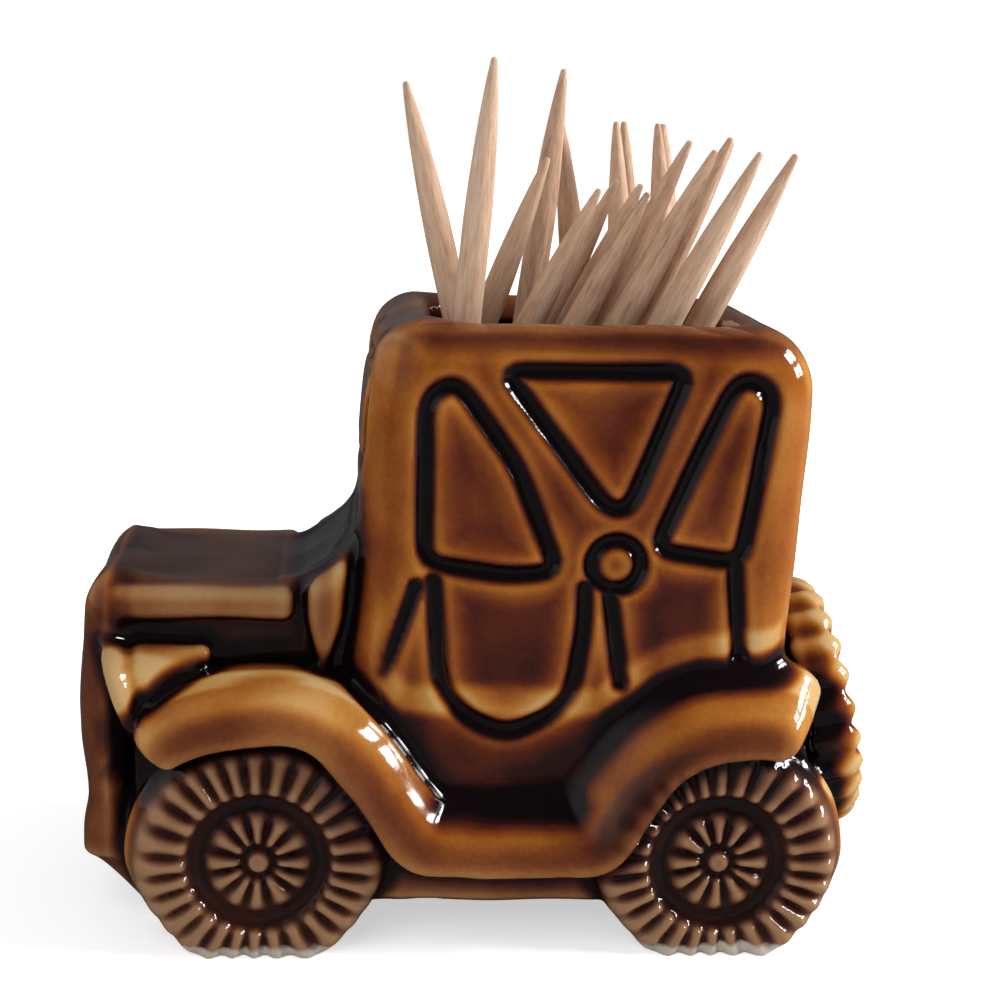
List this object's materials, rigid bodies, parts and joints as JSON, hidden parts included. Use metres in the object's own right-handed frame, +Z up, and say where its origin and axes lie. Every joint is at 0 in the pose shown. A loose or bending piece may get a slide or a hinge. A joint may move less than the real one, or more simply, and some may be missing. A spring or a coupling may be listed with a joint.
{
  "type": "toothpick holder",
  "caption": "Glazed ceramic toothpick holder shaped like an old open-roofed car, filled with pointed wooden picks that lift out.",
  "frame": {"origin": "centre of the footprint, on the plane that the wheels stand on", "axes": "+Z up; the car's nose points along -X; +Y towards the car's far side as seen in the picture"},
  "size_m": [0.0608, 0.033, 0.0648],
  "materials": {
    "glaze": "glossy amber-brown glaze, near black where it pools",
    "wood": "dry unvarnished wood"
  },
  "bodies": {
    "car": {"car_casting": "glaze"},
    "pick_01": {"pick_01": "wood"},
    "pick_02": {"pick_02": "wood"},
    "pick_03": {"pick_03": "wood"},
    "pick_04": {"pick_04": "wood"},
    "pick_05": {"pick_05": "wood"},
    "pick_06": {"pick_06": "wood"},
    "pick_07": {"pick_07": "wood"},
    "pick_08": {"pick_08": "wood"},
    "pick_09": {"pick_09": "wood"},
    "pick_10": {"pick_10": "wood"},
    "pick_11": {"pick_11": "wood"},
    "pick_12": {"pick_12": "wood"},
    "pick_13": {"pick_13": "wood"},
    "pick_14": {"pick_14": "wood"},
    "pick_15": {"pick_15": "wood"},
    "pick_16": {"pick_16": "wood"},
    "pick_17": {"pick_17": "wood"},
    "pick_18": {"pick_18": "wood"},
    "pick_19": {"pick_19": "wood"}
  },
  "joints": [
    {"name": "pick_01_lift", "type": "slide", "parent": "car", "child": "pick_01", "axis": [0.0759, 0.0165, 0.997], "range_m": [0, 0.065]},
    {"name": "pick_02_lift", "type": "slide", "parent": "car", "child": "pick_02", "axis": [-0.2374, 0.0997, 0.9663], "range_m": [0, 0.065]},
    {"name": "pick_03_lift", "type": "slide", "parent": "car", "child": "pick_03", "axis": [0.405, -0.1627, 0.8997], "range_m": [0, 0.065]},
    {"name": "pick_04_lift", "type": "slide", "parent": "car", "child": "pick_04", "axis": [0.4072, -0.1668, 0.898], "range_m": [0, 0.065]},
    {"name": "pick_05_lift", "type": "slide", "parent": "car", "child": "pick_05", "axis": [0.4088, -0.1658, 0.8974], "range_m": [0, 0.065]},
    {"name": "pick_06_lift", "type": "slide", "parent": "car", "child": "pick_06", "axis": [0.4106, -0.1637, 0.897], "range_m": [0, 0.065]},
    {"name": "pick_07_lift", "type": "slide", "parent": "car", "child": "pick_07", "axis": [0.4121, -0.1666, 0.8957], "range_m": [0, 0.065]},
    {"name": "pick_08_lift", "type": "slide", "parent": "car", "child": "pick_08", "axis": [0.3126, -0.1701, 0.9346], "range_m": [0, 0.065]},
    {"name": "pick_09_lift", "type": "slide", "parent": "car", "child": "pick_09", "axis": [0.3902, -0.163, 0.9062], "range_m": [0, 0.065]},
    {"name": "pick_10_lift", "type": "slide", "parent": "car", "child": "pick_10", "axis": [0.3751, -0.1648, 0.9122], "range_m": [0, 0.065]},
    {"name": "pick_11_lift", "type": "slide", "parent": "car", "child": "pick_11", "axis": [0.3793, -0.1662, 0.9102], "range_m": [0, 0.065]},
    {"name": "pick_12_lift", "type": "slide", "parent": "car", "child": "pick_12", "axis": [0.3869, -0.1675, 0.9068], "range_m": [0, 0.065]},
    {"name": "pick_13_lift", "type": "slide", "parent": "car", "child": "pick_13", "axis": [0.3855, -0.1676, 0.9074], "range_m": [0, 0.065]},
    {"name": "pick_14_lift", "type": "slide", "parent": "car", "child": "pick_14", "axis": [-0.0551, 0.1866, 0.9809], "range_m": [0, 0.065]},
    {"name": "pick_15_lift", "type": "slide", "parent": "car", "child": "pick_15", "axis": [-0.0555, 0.1905, 0.9801], "range_m": [0, 0.065]},
    {"name": "pick_16_lift", "type": "slide", "parent": "car", "child": "pick_16", "axis": [-0.0515, 0.1863, 0.9811], "range_m": [0, 0.065]},
    {"name": "pick_17_lift", "type": "slide", "parent": "car", "child": "pick_17", "axis": [-0.1282, 0.0904, 0.9876], "range_m": [0, 0.065]},
    {"name": "pick_18_lift", "type": "slide", "parent": "car", "child": "pick_18", "axis": [-0.0557, 0.1913, 0.98], "range_m": [0, 0.065]},
    {"name": "pick_19_lift", "type": "slide", "parent": "car", "child": "pick_19", "axis": [0.1033, -0.084, 0.9911], "range_m": [0, 0.065]}
  ]
}
